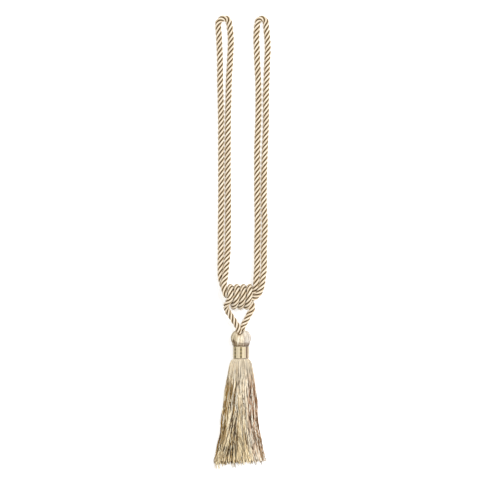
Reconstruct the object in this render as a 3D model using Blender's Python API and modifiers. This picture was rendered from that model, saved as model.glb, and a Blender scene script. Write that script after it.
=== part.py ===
"""Curtain tieback: a twisted rope loop held by a sliding knot, with a tassel under the knot.

It lies face up, as laid out on a table. The frame is in metres: X to the right, Y up the piece from
the tassel's head towards the loop's two ears, Z up from the surface. The origin is on the surface,
under the middle of the tassel's head.
"""

import math

import bmesh
import bpy
import numpy as np
from mathutils import Vector

MM = 0.001


def table(columns, rows):
    """A short table as its columns: each name gives that column's values."""
    return {name: np.array(values, float) for name, values in zip(columns.split(), zip(*rows))}


# ---- driving sizes, in millimetres unless a name says otherwise --------------------------------
ROPE_D = 6.0  # over the three strands
GROOVE_R = 2.15  # half the width across a groove, so the strands stand out as ridges
LAY = 15.75  # length of one full twist of the three strands
RINGS_PER_LAY = 8
STRANDS = 3

KNOT_Y = 41.6  # the knot's axis runs along X at this place
KNOT_Z = 12.5
TURN_PITCH = 6.3  # the cord goes round four times, side by side
TURN_LEAN = 1.6  # the front of each turn stands this far towards +X
TURN_HALF_HEIGHT = 10.0  # centreline of a turn, along Y
TURN_HALF_DEPTH = 9.5  # centreline of a turn, along Z, so its back rests on the surface
FIRST_TURN_X = -13.6  # where the first turn would start, at its lowest Y
HELIX_FROM_DEG = 80.0  # the left leg reaches the even turns here, at the front of turn one
HELIX_TO_DEG = 1385.0  # and leaves them here, behind turn four

JOINT_GAP = 0.3  # between the loop's two ends, which meet inside the knot

# The two runs of the loop lie side by side from the left ear, through the knot, to the right ear.
# A row for each stretch: the pair's middle (x, y, z), half the distance between the two
# centrelines, and the pair's roll, which crosses one run over the other at the knot.
PAIR = table("x y z half_gap roll_deg", [
    (-17.2, 314.6, 3.0, 5.5, 0),
    (-16.0, 300.7, 3.0, 5.85, 0),
    (-15.9, 276.6, 3.0, 5.0, 0),
    (-16.4, 258.6, 3.0, 4.4, 0),
    (-16.4, 240.5, 3.0, 4.0, 0),
    (-16.4, 218.5, 3.0, 3.55, 0),
    (-16.5, 178.4, 3.0, 3.35, 0),
    (-16.3, 138.3, 3.1, 3.5, 0),
    (-16.5, 113.3, 4.0, 3.6, 1),
    (-16.6, 98.2, 5.6, 3.6, 4),
    (-16.8, 84.2, 7.7, 3.45, 11),
    (-17.5, 72.2, 9.7, 3.2, 25),
    (-17.9, 60.4, 11.5, 3.15, 50),
    (-17.2, 52.0, 12.2, 3.15, 84),
    (-13.8, 44.4, 12.5, 3.15, 107),
    (-8.0, 41.8, 12.5, 3.15, 120),
    (-1.5, 41.6, 12.5, 3.15, 130),
    (4.6, 41.7, 12.6, 3.15, 137),
    (10.7, 42.4, 12.9, 3.15, 138),
    (15.6, 46.3, 13.1, 3.15, 141),
    (17.9, 52.7, 12.6, 3.2, 152),
    (18.7, 60.6, 11.6, 3.35, 165),
    (19.6, 71.2, 9.6, 3.5, 175),
    (19.6, 88.2, 7.0, 3.4, 180),
    (20.3, 113.3, 4.1, 3.6, 180),
    (19.6, 138.3, 3.0, 3.3, 180),
    (19.8, 168.4, 3.0, 3.6, 180),
    (20.0, 183.4, 3.0, 3.8, 180),
    (20.5, 198.4, 3.0, 3.95, 180),
    (21.2, 216.5, 3.0, 3.9, 180),
    (21.3, 240.5, 3.0, 3.8, 180),
    (21.5, 258.6, 3.0, 4.2, 180),
    (21.3, 276.6, 3.0, 5.0, 180),
    (21.4, 288.6, 3.0, 5.45, 180),
    (20.9, 300.7, 3.0, 5.5, 180),
    (20.7, 312.7, 3.0, 4.5, 180),
    (20.9, 315.6, 3.0, 4.1, 180),
])
KNOT_ROW = 16  # the row in the middle of the knot, where the loop's ends meet

# The slider cord's own points (x, y, z): the left leg rises from the tassel's head to the knot,
# and the right leg comes back down behind it.
LEFT_LEG = [
    (-1.9, 3.75, 12.2),
    (-2.1, 5.6, 12.2),
    (-2.3, 7.7, 12.2),
    (-2.6, 9.5, 12.2),
    (-3.8, 12.6, 12.4),
    (-7.0, 17.8, 12.8),
    (-11.0, 23.8, 13.7),
    (-13.2, 27.2, 14.7),
    (-14.6, 30.6, 16.3),
    (-14.5, 33.8, 18.6),
    (-12.6, 36.8, 20.7),
]
RIGHT_LEG = [
    (11.3, 31.0, 7.0),
    (10.5, 27.5, 7.8),
    (8.2, 23.8, 7.9),
    (5.3, 18.0, 7.4),
    (2.2, 12.6, 6.8),
    (1.3, 9.5, 6.7),
    (1.4, 7.7, 6.7),
    (1.5, 5.6, 6.7),
    (1.6, 3.75, 6.7),
]

# The tassel's neck and head: a row for each section, with its place along the tassel, its radius,
# its axis's height over the surface, and how much of the notch it has. The head is a little wider
# than that height, so it is pressed flat where it rests. Its last rows turn in over the rim and
# down the pit that takes the two legs.
HEAD = table("y radius z notch", [
    (-20.4, 7.2, 9.3, 0.0),
    (-7.6, 7.2, 9.3, 0.0),
    (-6.2, 7.8, 9.45, 0.0),
    (-4.2, 8.8, 9.45, 0.05),
    (-2.0, 9.6, 9.45, 0.15),
    (0.8, 9.95, 9.45, 0.3),
    (3.2, 9.75, 9.45, 0.5),
    (5.6, 8.9, 9.45, 0.8),
    (7.6, 7.8, 9.45, 1.0),
    (7.8, 7.1, 9.45, 1.0),
    (3.4, 6.7, 9.45, 0.0),
])
NOTCH_AT_DEG = 101.0  # round the tassel's axis from +X: in front, a little to the left
NOTCH_SPREAD_DEG = 24.0
NOTCH_DROP = 3.5  # the rim dips this far, which parts the head into two lobes
NOTCH_CREASE = 0.6  # and the crease under it is this deep
SHOULDER_DROP = 1.6  # the rim falls this far towards the sides, which rounds the shoulders

# The skirt of threads: the middle (x, z), half the width and half the depth at each place, and
# one thread's own width and depth there.
SKIRT = table("y x z half_width half_depth thread_width thread_depth", [
    (-20.4, 0.0, 9.3, 7.0, 7.0, 0.7, 0.7),
    (-26.5, -0.1, 8.4, 11.2, 7.3, 0.95, 0.65),
    (-52.0, -0.5, 6.9, 15.8, 6.4, 1.35, 0.55),
    (-96.0, -1.4, 6.1, 20.4, 5.7, 1.6, 0.55),
    (-123.0, -0.7, 5.9, 26.4, 5.6, 1.0, 0.5),
])
ROOT_Y, ROOT_R, ROOT_Z = (float(HEAD[name][0]) for name in ("y", "radius", "z"))
HEM_Y = float(SKIRT["y"][-1])
CORNERS = [(-1, -1), (1, -1), (1, 1), (-1, 1)]
THREAD_GRID = 12  # 12 by 12 threads, in a grid drawn out to a disc
GRID_TURN_DEG = 26.0  # the grid stands askew, so that no two layers of threads line up
THREAD_INSET = 0.13
HEM_SLANT = 4.0  # the left threads are this much longer than the right ones
HEM_UNEVEN = 2.2
UNDER_SHORTER = 5.0  # the threads underneath stop short, so the hem lies flat
STRAY_EVERY = 17  # one thread in so many hangs out of the hem
STRAY_LENGTH = 7.0
THREAD_SWAY = 0.35

BAND_FROM_Y = -19.7
BAND_TO_Y = -7.9
BAND_INNER_R = 7.55
BAND_OUTER_R = 8.25

# ---- helpers ------------------------------------------------------------------------------------
def clear_scene():
    for item in list(bpy.data.objects):
        bpy.data.objects.remove(item, do_unlink=True)


def make_collection(name):
    made = bpy.data.collections.new(name)
    bpy.context.scene.collection.children.link(made)
    return made


def make_material(name, colour, roughness, metallic=0.0):
    made = bpy.data.materials.new(name)
    made.use_nodes = True
    shader = made.node_tree.nodes["Principled BSDF"]
    shader.inputs["Base Color"].default_value = (*colour, 1.0)
    shader.inputs["Roughness"].default_value = roughness
    shader.inputs["Metallic"].default_value = metallic
    return made


def smooth_line(points, step):
    """Points every `step` along a smooth curve through a rope's own ones."""
    points = np.array(points, float)
    ends = [2 * points[0] - points[1], *points, 2 * points[-1] - points[-2]]
    dense = []
    for p0, p1, p2, p3 in zip(ends, ends[1:], ends[2:], ends[3:]):
        t0 = 0.0
        t1 = t0 + math.sqrt(np.linalg.norm(p1 - p0))
        t2 = t1 + math.sqrt(np.linalg.norm(p2 - p1))
        t3 = t2 + math.sqrt(np.linalg.norm(p3 - p2))
        for t in np.linspace(t1, t2, 12, endpoint=False):
            a1 = (t1 - t) / (t1 - t0) * p0 + (t - t0) / (t1 - t0) * p1
            a2 = (t2 - t) / (t2 - t1) * p1 + (t - t1) / (t2 - t1) * p2
            a3 = (t3 - t) / (t3 - t2) * p2 + (t - t2) / (t3 - t2) * p3
            b1 = (t2 - t) / (t2 - t0) * a1 + (t - t0) / (t2 - t0) * a2
            b2 = (t3 - t) / (t3 - t1) * a2 + (t - t1) / (t3 - t1) * a3
            dense.append((t2 - t) / (t2 - t1) * b1 + (t - t1) / (t2 - t1) * b2)
    dense = np.array([*dense, points[-1]])
    dense[:, 2] = np.maximum(dense[:, 2], ROPE_D / 2)  # no rope sinks into the surface
    along = np.concatenate([[0], np.cumsum(np.linalg.norm(np.diff(dense, axis=0), axis=1))])
    at = np.linspace(0, along[-1], round(along[-1] / step) + 1)
    return np.stack([np.interp(at, along, dense[:, k]) for k in range(3)], axis=1)


def line_length(line):
    return float(np.linalg.norm(np.diff(line, axis=0), axis=1).sum())


# ---- the loop rope's route ----------------------------------------------------------------------
def pair_runs():
    """The two runs' own points, from the left ear through the knot to the right ear."""
    middle = np.stack([PAIR["x"], PAIR["y"], PAIR["z"]], axis=1)
    heading = np.gradient(middle, axis=0)
    heading /= np.linalg.norm(heading, axis=1)[:, None]
    up = np.array([0.0, 0.0, 1.0])
    left_hand = np.cross(up, heading)
    left_hand /= np.linalg.norm(left_hand, axis=1)[:, None]
    lift = np.cross(heading, left_hand)
    roll = np.radians(PAIR["roll_deg"])[:, None]
    offset = PAIR["half_gap"][:, None] * (np.cos(roll) * left_hand + np.sin(roll) * lift)
    return middle + offset, middle - offset


def ear_bend(first, last, steps=5):
    """A half circle from one run's end to the other's, bulging up the piece along +Y."""
    middle, half = (first + last) / 2, (first - last) / 2
    radius = np.linalg.norm(half)
    angles = [math.pi * k / (steps + 1) for k in range(1, steps + 1)]
    return [
        middle + half * math.cos(a) + np.array([0, radius, 0]) * math.sin(a) for a in angles
    ]


def loop_route():
    """From inside the knot, round the right ear, back through the knot, round the left ear."""
    first, second = pair_runs()
    points = [
        *second[KNOT_ROW:],
        *ear_bend(second[-1], first[-1]),
        *first[::-1],
        *ear_bend(first[0], second[0]),
        *second[: KNOT_ROW + 1],
    ]
    start, end = np.array(points[0]), np.array(points[-1])
    onward = np.array(points[1]) - start
    onward /= np.linalg.norm(onward)
    points[0] = start + onward * JOINT_GAP / 2
    points[-1] = end - onward * JOINT_GAP / 2
    return points


# ---- the slider cord's route --------------------------------------------------------------------
def turn_point(degrees):
    """A point of the knot's winding: 0 is lowest in Y, 90 the front, 180 the top, 270 the back."""
    a = math.radians(degrees)
    front = max(math.sin(a), 0.0) ** 2
    return (
        FIRST_TURN_X + TURN_PITCH * degrees / 360 + TURN_LEAN * front,
        KNOT_Y - TURN_HALF_HEIGHT * math.cos(a),
        KNOT_Z + TURN_HALF_DEPTH * math.sin(a),
    )


def slider_route():
    steps = round((HELIX_TO_DEG - HELIX_FROM_DEG) / 30)
    angles = np.linspace(HELIX_FROM_DEG, HELIX_TO_DEG, steps + 1)
    return [*LEFT_LEG, *[turn_point(a) for a in angles], *RIGHT_LEG]


# ---- twisted rope -------------------------------------------------------------------------------
def strand_profile(guides):
    """The rope's section: a ridge for each strand and a groove between each two."""
    curve = bpy.data.curves.new("rope_section", "CURVE")
    curve.dimensions = "2D"
    spline = curve.splines.new("POLY")
    spline.points.add(2 * STRANDS - 1)
    for k, point in enumerate(spline.points):
        angle = -math.pi * k / STRANDS
        radius = (ROPE_D / 2 if k % 2 == 0 else GROOVE_R) * MM
        point.co = (radius * math.cos(angle), radius * math.sin(angle), 0, 1)
    spline.use_cyclic_u = True
    profile = bpy.data.objects.new("rope_section", curve)
    profile.hide_render = True
    profile.display_type = "WIRE"
    guides.objects.link(profile)
    return profile


def twisted_rope(name, route, profile, material, parts):
    """A curve with the three-ridged section, tilted along its length by the rope's lay."""
    line = smooth_line(route, LAY / RINGS_PER_LAY)
    half_way = len(line) // 2  # the twist is counted from here, as a point's tilt has a limit
    curve = bpy.data.curves.new(name, "CURVE")
    curve.dimensions = "3D"
    curve.twist_mode = "MINIMUM"
    curve.bevel_mode = "OBJECT"
    curve.bevel_object = profile
    curve.use_fill_caps = True
    spline = curve.splines.new("POLY")
    spline.points.add(len(line) - 1)
    for k, (point, place) in enumerate(zip(spline.points, line)):
        point.co = (*(place * MM), 1)
        point.tilt = 2 * math.pi * (k - half_way) / RINGS_PER_LAY
    rope = bpy.data.objects.new(name, curve)
    curve.materials.append(material)
    parts.objects.link(rope)
    print(f"{name}: {line_length(line):.0f} mm long, {len(line)} rings")


# ---- the tassel ---------------------------------------------------------------------------------
def disc_place(u, v):
    """A square grid's point, moved so that its square rings become round ones, turned askew."""
    reach = max(abs(u), abs(v), 1e-9)
    if abs(u) == max(abs(u), abs(v)):
        angle = math.pi / 4 * v / (u or 1) + (math.pi if u < 0 else 0)
    else:
        angle = math.pi / 2 - math.pi / 4 * u / v + (math.pi if v < 0 else 0)
    angle += math.radians(GRID_TURN_DEG)
    return reach * math.cos(angle), reach * math.sin(angle)


def skirt_at(y):
    """The skirt's middle x and z, half width and half depth at one place along the tassel."""
    names = ("x", "z", "half_width", "half_depth")
    return [float(np.interp(-y, -SKIRT["y"], SKIRT[name])) for name in names]


def thread_end(number, u, v):
    """Where one thread ends: a slanted, uneven hem, short underneath, with some strays."""
    uneven = HEM_UNEVEN * math.sin(2.4 * number + 3.0 * u) * math.cos(1.7 * number)
    under = UNDER_SHORTER * max(0.0, -v) ** 2
    stray = STRAY_LENGTH if number % STRAY_EVERY == 5 and v > -0.2 else 0.0
    return HEM_Y + HEM_SLANT / 2 * u + uneven + under - stray


def facing_corners(face):
    """Which corner of an upright rectangle each of a face's four points lies nearest to."""
    middle = face.calc_center_median()
    sides = [(vert.co.x - middle.x, vert.co.z - middle.z) for vert in face.verts]
    ways = [CORNERS[k:] + CORNERS[:k] for k in range(4)]
    ways += [way[::-1] for way in ways]
    return max(
        ways, key=lambda way: sum(a * c + b * d for (a, b), (c, d) in zip(sides, way))
    )


def grow_threads(mesh, roots):
    """Each root face is drawn out, section by section, into one four-sided thread."""
    faces = roots
    bmesh.ops.inset_individual(mesh, faces=faces, thickness=THREAD_INSET * MM, use_even_offset=True)
    threads = []
    thread_number = mesh.faces.layers.int["thread_number"]
    for number, face in enumerate(faces):
        face[thread_number] = number
        middle = face.calc_center_median() / MM
        u, v = middle.x / ROOT_R, (middle.z - ROOT_Z) / ROOT_R
        threads.append((u, v, thread_end(number, u, v)))
    widest = max(abs(u) for u, _, _ in threads)
    deepest = max(abs(v) for _, v, _ in threads)
    for level in range(1, len(SKIRT["y"])):
        share = (SKIRT["y"][level] - ROOT_Y) / (HEM_Y - ROOT_Y)
        half_x, half_z = SKIRT["thread_width"][level] / 2, SKIRT["thread_depth"][level] / 2
        faces = bmesh.ops.extrude_discrete_faces(mesh, faces=faces)["faces"]
        for face in faces:
            u, v, end = threads[face[thread_number]]
            y = ROOT_Y + share * (end - ROOT_Y)
            x, z, half_width, half_depth = skirt_at(y)
            x += u / widest * (half_width - half_x)
            x += THREAD_SWAY * share * math.sin(9.0 * share + 2.0 * v + 1.3 * u)
            z = max(z + v / deepest * (half_depth - half_z), half_z)
            for vert, (side_x, side_z) in zip(face.verts, facing_corners(face)):
                vert.co = Vector((x + side_x * half_x, y, z + side_z * half_z)) * MM


def notch_depth(angle):
    """How deep in the notch a point of the head is, by its angle round the axis: 0 to 1."""
    off = math.remainder(math.degrees(angle) - NOTCH_AT_DEG, 360) / NOTCH_SPREAD_DEG
    return math.exp(-(off**2))


def grow_head(mesh, rim):
    """The root disc's rim is drawn up the neck, over the head and down into its pit."""
    last_z = ROOT_Z
    for y, radius, z, notch in list(zip(*HEAD.values()))[1:]:
        grown = bmesh.ops.extrude_edge_only(mesh, edges=rim)["geom"]
        rim = [item for item in grown if isinstance(item, bmesh.types.BMEdge)]
        for vert in {vert for edge in rim for vert in edge.verts}:
            angle = math.atan2(vert.co.z - last_z * MM, vert.co.x)
            dip = notch * notch_depth(angle)
            reach = radius - NOTCH_CREASE * dip
            fall = NOTCH_DROP * dip + SHOULDER_DROP * notch * math.cos(angle) ** 4
            up = max(z + reach * math.sin(angle), 0.0)
            vert.co = Vector((reach * math.cos(angle), y - fall, up)) * MM
        last_z = z
    bmesh.ops.contextual_create(mesh, geom=rim)


def make_tassel(material, parts):
    mesh = bmesh.new()
    mesh.faces.layers.int.new("thread_number")
    grid = bmesh.ops.create_grid(mesh, x_segments=THREAD_GRID, y_segments=THREAD_GRID, size=1.0)
    for vert in grid["verts"]:
        u, v = disc_place(vert.co.x, vert.co.y)
        vert.co = Vector((ROOT_R * u, ROOT_Y, ROOT_Z + ROOT_R * v)) * MM
    roots = list(mesh.faces)
    grow_head(mesh, [edge for edge in mesh.edges if edge.is_boundary])
    grow_threads(mesh, roots)
    bmesh.ops.recalc_face_normals(mesh, faces=mesh.faces)
    data = bpy.data.meshes.new("tassel")
    mesh.to_mesh(data)
    mesh.free()
    data.materials.append(material)
    parts.objects.link(bpy.data.objects.new("tassel", data))


# ---- the neck band ------------------------------------------------------------------------------
def make_neck_band(material, parts):
    bpy.ops.mesh.primitive_cylinder_add(
        vertices=36,
        radius=(BAND_INNER_R + BAND_OUTER_R) / 2 * MM,
        depth=(BAND_TO_Y - BAND_FROM_Y) * MM,
        end_fill_type="NOTHING",
        rotation=(math.pi / 2, 0, 0),
        location=(0, (BAND_FROM_Y + BAND_TO_Y) / 2 * MM, ROOT_Z * MM),
    )
    band = bpy.context.object
    band.name = band.data.name = "neck_band"
    for owner in list(band.users_collection):
        owner.objects.unlink(band)
    parts.objects.link(band)
    band.data.materials.append(material)
    wall = band.modifiers.new("wall", "SOLIDIFY")
    wall.thickness = (BAND_OUTER_R - BAND_INNER_R) * MM
    wall.offset = 0


def build():
    clear_scene()
    parts = make_collection("curtain_tieback_tassel")
    guides = make_collection("guides")
    cream = make_material("cream_rope", (0.78, 0.66, 0.47), 0.45)
    champagne = make_material("champagne_thread", (0.62, 0.48, 0.30), 0.42)
    gold = make_material("pale_gold_band", (0.74, 0.60, 0.36), 0.35, 0.4)
    profile = strand_profile(guides)
    twisted_rope("loop_rope", loop_route(), profile, cream, parts)
    twisted_rope("slider_cord", slider_route(), profile, cream, parts)
    make_tassel(champagne, parts)
    make_neck_band(gold, parts)


build()
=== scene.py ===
# %% [markdown]
# # A curtain tieback with a tassel
# The real thing is soft: a loop of twisted satin rope holds the curtain, a shorter cord is wound
# round the loop as a sliding knot, and a tassel of silky thread hangs from that cord. This lesson
# dresses its measured solids: each solid is replaced by a finer piece of the same size and place.
# Everything is in metres, seen from above as it lies on a table, with the tassel towards -Y.

# %% Load the measured solids
import math

import bpy
import numpy as np
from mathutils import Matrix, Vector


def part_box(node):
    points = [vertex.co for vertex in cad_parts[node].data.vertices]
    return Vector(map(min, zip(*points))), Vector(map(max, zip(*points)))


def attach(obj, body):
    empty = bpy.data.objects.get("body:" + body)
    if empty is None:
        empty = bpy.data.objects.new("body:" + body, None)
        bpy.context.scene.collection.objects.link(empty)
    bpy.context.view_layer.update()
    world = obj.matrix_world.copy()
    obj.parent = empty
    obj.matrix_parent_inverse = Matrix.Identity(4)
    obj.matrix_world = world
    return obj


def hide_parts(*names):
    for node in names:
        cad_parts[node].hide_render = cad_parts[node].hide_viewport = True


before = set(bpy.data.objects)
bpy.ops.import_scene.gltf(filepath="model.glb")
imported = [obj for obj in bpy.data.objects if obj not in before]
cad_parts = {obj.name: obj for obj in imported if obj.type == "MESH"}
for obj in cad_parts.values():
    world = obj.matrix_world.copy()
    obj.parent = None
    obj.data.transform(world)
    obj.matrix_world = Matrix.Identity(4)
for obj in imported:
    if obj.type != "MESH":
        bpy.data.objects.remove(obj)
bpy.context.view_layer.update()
MM = 0.001
for name in sorted(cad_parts):
    low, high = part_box(name)
    print(name, "is", [round((b - a) / MM, 1) for a, b in zip(low, high)], "mm")

# %% [markdown]
# ## The camera
# The picture is taken straight from above and from far away, so that nearly no perspective shows.
# A long lens does the same here: the camera hangs two metres up, and its angle is worked out from
# the half metre of table that the picture covers. The colours are shown as they are, with no film
# look laid over them, because a cream cord on a white table would turn grey with one.

# %% Hang the camera over the table
VIEW_MIDDLE_X = 9.0 * MM
VIEW_MIDDLE_Y = 88.2 * MM
VIEW_WIDTH = 501.1 * MM
CAMERA_HEIGHT = 2.0

lens = bpy.data.cameras.new("camera")
lens.sensor_fit = "HORIZONTAL"
lens.angle = 2 * math.atan(VIEW_WIDTH / 2 / CAMERA_HEIGHT)
camera = bpy.data.objects.new("camera", lens)
camera.location = (VIEW_MIDDLE_X, VIEW_MIDDLE_Y, CAMERA_HEIGHT)
bpy.context.scene.collection.objects.link(camera)
bpy.context.scene.camera = camera
bpy.context.scene.view_settings.view_transform = "Standard"
print(f"the lens is {lens.lens:.0f} mm long")

# %% [markdown]
# ## Helpers for node trees
# Geometry Nodes and materials are both graphs of small operations. Written node by node they are
# long and hard to read, so this small class lets Python's own signs build them: `a * b + c` adds
# a Multiply node and an Add node and links them. The result is an ordinary tree, which opens in
# the node editor like any other.


# %% Let sums and products build nodes
class Wire:
    """One output in a node tree; arithmetic on it adds Math nodes."""

    def __init__(self, tree, socket):
        self.tree, self.socket = tree, socket

    def math(self, operation, *others):
        """Adds a Math node that works on this output first, and then on the others."""
        node = self.tree.nodes.new("ShaderNodeMath")
        node.operation = operation
        for socket, value in zip(node.inputs, (self, *others)):
            feed(self.tree, socket, value)
        return Wire(self.tree, node.outputs[0])

    def __add__(self, other):
        return self.math("ADD", other)

    def __sub__(self, other):
        return self.math("SUBTRACT", other)

    def __mul__(self, other):
        return self.math("MULTIPLY", other)

    def __truediv__(self, other):
        return self.math("DIVIDE", other)

    def __rsub__(self, other):
        return self * -1.0 + other

    __radd__, __rmul__ = __add__, __mul__

    def sin(self):
        return self.math("SINE")

    def cos(self):
        return self.math("COSINE")


def feed(tree, socket, value):
    """Links a wire or a node's output to a socket, or sets the socket to a plain value."""
    if isinstance(value, Wire):
        tree.links.new(value.socket, socket)
    elif isinstance(value, bpy.types.NodeSocket):
        tree.links.new(value, socket)
    else:
        socket.default_value = value


def add(tree, kind, inputs=None, output=0, **options):
    """Adds a node with its options and inputs, and gives back one of its outputs."""
    node = tree.nodes.new(kind)
    for option, value in options.items():
        setattr(node, option, value)
    for key, value in (inputs or {}).items():
        feed(tree, node.inputs[key], value)
    return Wire(tree, node.outputs[output])


def vector(tree, x, y, z):
    """Three numbers as one vector."""
    return add(tree, "ShaderNodeCombineXYZ", {0: x, 1: y, 2: z})


def split(tree, value):
    """The three parts of a vector or a colour."""
    node = tree.nodes.new("ShaderNodeSeparateXYZ")
    feed(tree, node.inputs[0], value)
    return [Wire(tree, socket) for socket in node.outputs]


def noise(tree, place, detail=1.0, scale=1.0):
    """A cloudy texture: a number around one half that drifts from place to place."""
    inputs = {"Vector": place, "Scale": scale, "Detail": detail}
    return add(tree, "ShaderNodeTexNoise", inputs, "Fac")


def spread(tree, value, low, high, to_low=0.0, to_high=1.0):
    """Stretches the part of a value from low to high over a new range, eased at both ends."""
    old, new = {"From Min": low, "From Max": high}, {"To Min": to_low, "To Max": to_high}
    inputs = {"Value": value, **old, **new}
    return add(tree, "ShaderNodeMapRange", inputs, interpolation_type="SMOOTHSTEP")


# %% [markdown]
# ## Helpers for Geometry Nodes
# A tree's inputs carry names and default values, so a reader can open the modifier and change a
# thread's thickness without touching the graph. When the tree is done, the result is turned into
# a plain mesh and the modifier goes, because the exported model holds plain meshes only.


# %% Start a tree, and turn its result into a mesh
SOCKETS = {float: "NodeSocketFloat", int: "NodeSocketInt"}


def new_tree(name, **inputs):
    """A Geometry Nodes tree with named number inputs: the tree and a wire for each of them."""
    tree = bpy.data.node_groups.new(name, "GeometryNodeTree")
    tree.interface.new_socket("Geometry", in_out="INPUT", socket_type="NodeSocketGeometry")
    tree.interface.new_socket("Geometry", in_out="OUTPUT", socket_type="NodeSocketGeometry")
    for label, value in inputs.items():
        socket = tree.interface.new_socket(
            label, in_out="INPUT", socket_type=SOCKETS[type(value)]
        )
        socket.default_value = value
    start = tree.nodes.new("NodeGroupInput")
    return tree, {key: Wire(tree, start.outputs[key]) for key in ("Geometry", *inputs)}


def finish_tree(tree, geometry, material):
    """Ends a tree: instances are made real, and the material is set."""
    real = add(tree, "GeometryNodeRealizeInstances", {"Geometry": geometry})
    done = add(tree, "GeometryNodeSetMaterial", {"Geometry": real, "Material": material})
    end = tree.nodes.new("NodeGroupOutput")
    feed(tree, end.inputs[0], done)


def grow(name, tree, mesh=None, **values):
    """Runs a tree on a mesh and gives back the result as a plain object at the origin."""
    host = bpy.data.objects.new(name, mesh or bpy.data.meshes.new(name))
    bpy.context.scene.collection.objects.link(host)
    modifier = host.modifiers.new("grow", "NODES")
    modifier.node_group = tree
    for item in tree.interface.items_tree:
        if item.in_out == "INPUT" and item.name in values:
            modifier[item.identifier] = values[item.name]
    graph = bpy.context.evaluated_depsgraph_get()
    made = bpy.data.meshes.new_from_object(
        host.evaluated_get(graph), preserve_all_data_layers=True, depsgraph=graph
    )
    host.modifiers.remove(modifier)
    host.data = made
    made.name = name
    count = sum(len(face.vertices) - 2 for face in made.polygons)
    print(f"{name}: {count} triangles")
    return host


def store(tree, geometry, values, data_type="FLOAT"):
    """Keeps values on each point under their names, for the tree or the material to read."""
    for label, value in values.items():
        geometry = add(
            tree,
            "GeometryNodeStoreNamedAttribute",
            {"Geometry": geometry, "Name": label, "Value": value},
            data_type=data_type,
            domain="POINT",
        )
    return geometry


def named(tree, label):
    """A value that was stored on the points."""
    return add(tree, "GeometryNodeInputNamedAttribute", {"Name": label}, data_type="FLOAT")


def move(tree, geometry, place):
    """Puts each point in a new place."""
    return add(tree, "GeometryNodeSetPosition", {"Geometry": geometry, "Position": place})


def chance(tree, low, high, seed):
    """A random number for each point, always the same for the same seed."""
    return add(
        tree,
        "FunctionNodeRandomValue",
        {2: low, 3: high, "Seed": seed},
        output=1,
        data_type="FLOAT",
    )


def follow(tree, share, places, values):
    """A value that follows a short table, as a smooth curve through its rows."""
    low, high = min(values), max(values)
    places = (np.array(places) - places[0]) / (places[-1] - places[0])
    node = tree.nodes.new("ShaderNodeFloatCurve")
    curve = node.mapping.curves[0]
    for k, (place, value) in enumerate(zip(places, values)):
        point = (float(place), float((value - low) / (high - low)))
        if k in (0, len(places) - 1):
            curve.points[0 if k == 0 else -1].location = point
        else:
            curve.points.new(*point)
    node.mapping.update()
    feed(tree, node.inputs["Value"], share)
    return Wire(tree, node.outputs[0]) * float(high - low) + float(low)


def carry(tree, profile, curves, scale):
    """Carries a profile along curves, which makes smooth closed tubes."""
    tubes = add(
        tree,
        "GeometryNodeCurveToMesh",
        {"Curve": curves, "Profile Curve": profile, "Scale": scale, "Fill Caps": True},
    )
    return add(tree, "GeometryNodeSetShadeSmooth", {"Geometry": tubes})


def loft(tree, curves, sides, radius):
    """Turns curves into tubes with a few flat sides."""
    ring = add(tree, "GeometryNodeCurvePrimitiveCircle", {"Resolution": sides, "Radius": 1.0})
    return carry(tree, ring, curves, radius)


def lines_on(tree, points, steps):
    """One straight line for each point, cut into steps, ready to be bent by a formula."""
    line = add(tree, "GeometryNodeCurvePrimitiveLine", {"End": (1.0, 0.0, 0.0)})
    line = add(tree, "GeometryNodeResampleCurve", {"Curve": line, "Count": steps + 1})
    lines = add(tree, "GeometryNodeInstanceOnPoints", {"Points": points, "Instance": line})
    return add(tree, "GeometryNodeRealizeInstances", {"Geometry": lines})


# %% [markdown]
# ## Helpers for materials
# Each thread and rope has a Principled shader whose colour comes from the values that the geometry
# stored on its points, and from a few noises. Colours are written as they look on a screen, from
# 0 to 255, and are changed to the linear values that the shader wants.


# %% Start a material
def screen(red, green, blue):
    """A screen colour as a linear one."""
    share = np.array([red, green, blue]) / 255
    linear = np.where(share <= 0.04045, share / 12.92, ((share + 0.055) / 1.055) ** 2.4)
    return (*[float(value) for value in linear], 1.0)


def new_material(name, roughness, **settings):
    """A material, its tree, and its shader with plain settings."""
    material = bpy.data.materials.new(name)
    material.use_nodes = True
    tree = material.node_tree
    shader = tree.nodes["Principled BSDF"]
    shader.inputs["Roughness"].default_value = roughness
    for key, value in settings.items():
        shader.inputs[key.replace("_", " ")].default_value = value
    return material, tree, shader


def attribute(tree, label, output="Fac"):
    """A value that the geometry stored on the points, as the shader reads it."""
    node = tree.nodes.new("ShaderNodeAttribute")
    node.attribute_name = label
    return Wire(tree, node.outputs[output])


def blend(tree, share, first, second, how="MIX"):
    """Mixes two colours by a share from 0 to 1."""
    node = tree.nodes.new("ShaderNodeMix")
    node.data_type = "RGBA"
    node.blend_type = how
    colours = [socket for socket in node.inputs if socket.type == "RGBA"]
    feed(tree, node.inputs["Factor"], share)
    feed(tree, colours[0], first)
    feed(tree, colours[1], second)
    result = next(socket for socket in node.outputs if socket.type == "RGBA")
    return Wire(tree, result)


# %% [markdown]
# ## Where the ropes run
# The loop is one length of rope laid double: from its join inside the knot it goes up to the right
# ear, back through the knot, and round the left ear. The two runs stay side by side, so the table
# holds the middle of the pair, half the distance between the runs, and how the pair rolls as one
# run passes over the other. These are the same rows as in the measured solids, in millimetres.

# %% The loop's rows
ROPE_D = 6.0
LAY = 15.75  # of the measured solid: its three ridges turn once in this length
RINGS_PER_LAY = 8
KNOT_Y = 41.6
KNOT_Z = 12.5
KNOT_ROW = 16  # the row where the loop's two ends meet
JOINT_GAP = 0.3


def table(columns, rows):
    """A short table as its columns: each name gives that column's values."""
    return {name: np.array(values, float) for name, values in zip(columns.split(), zip(*rows))}


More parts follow.
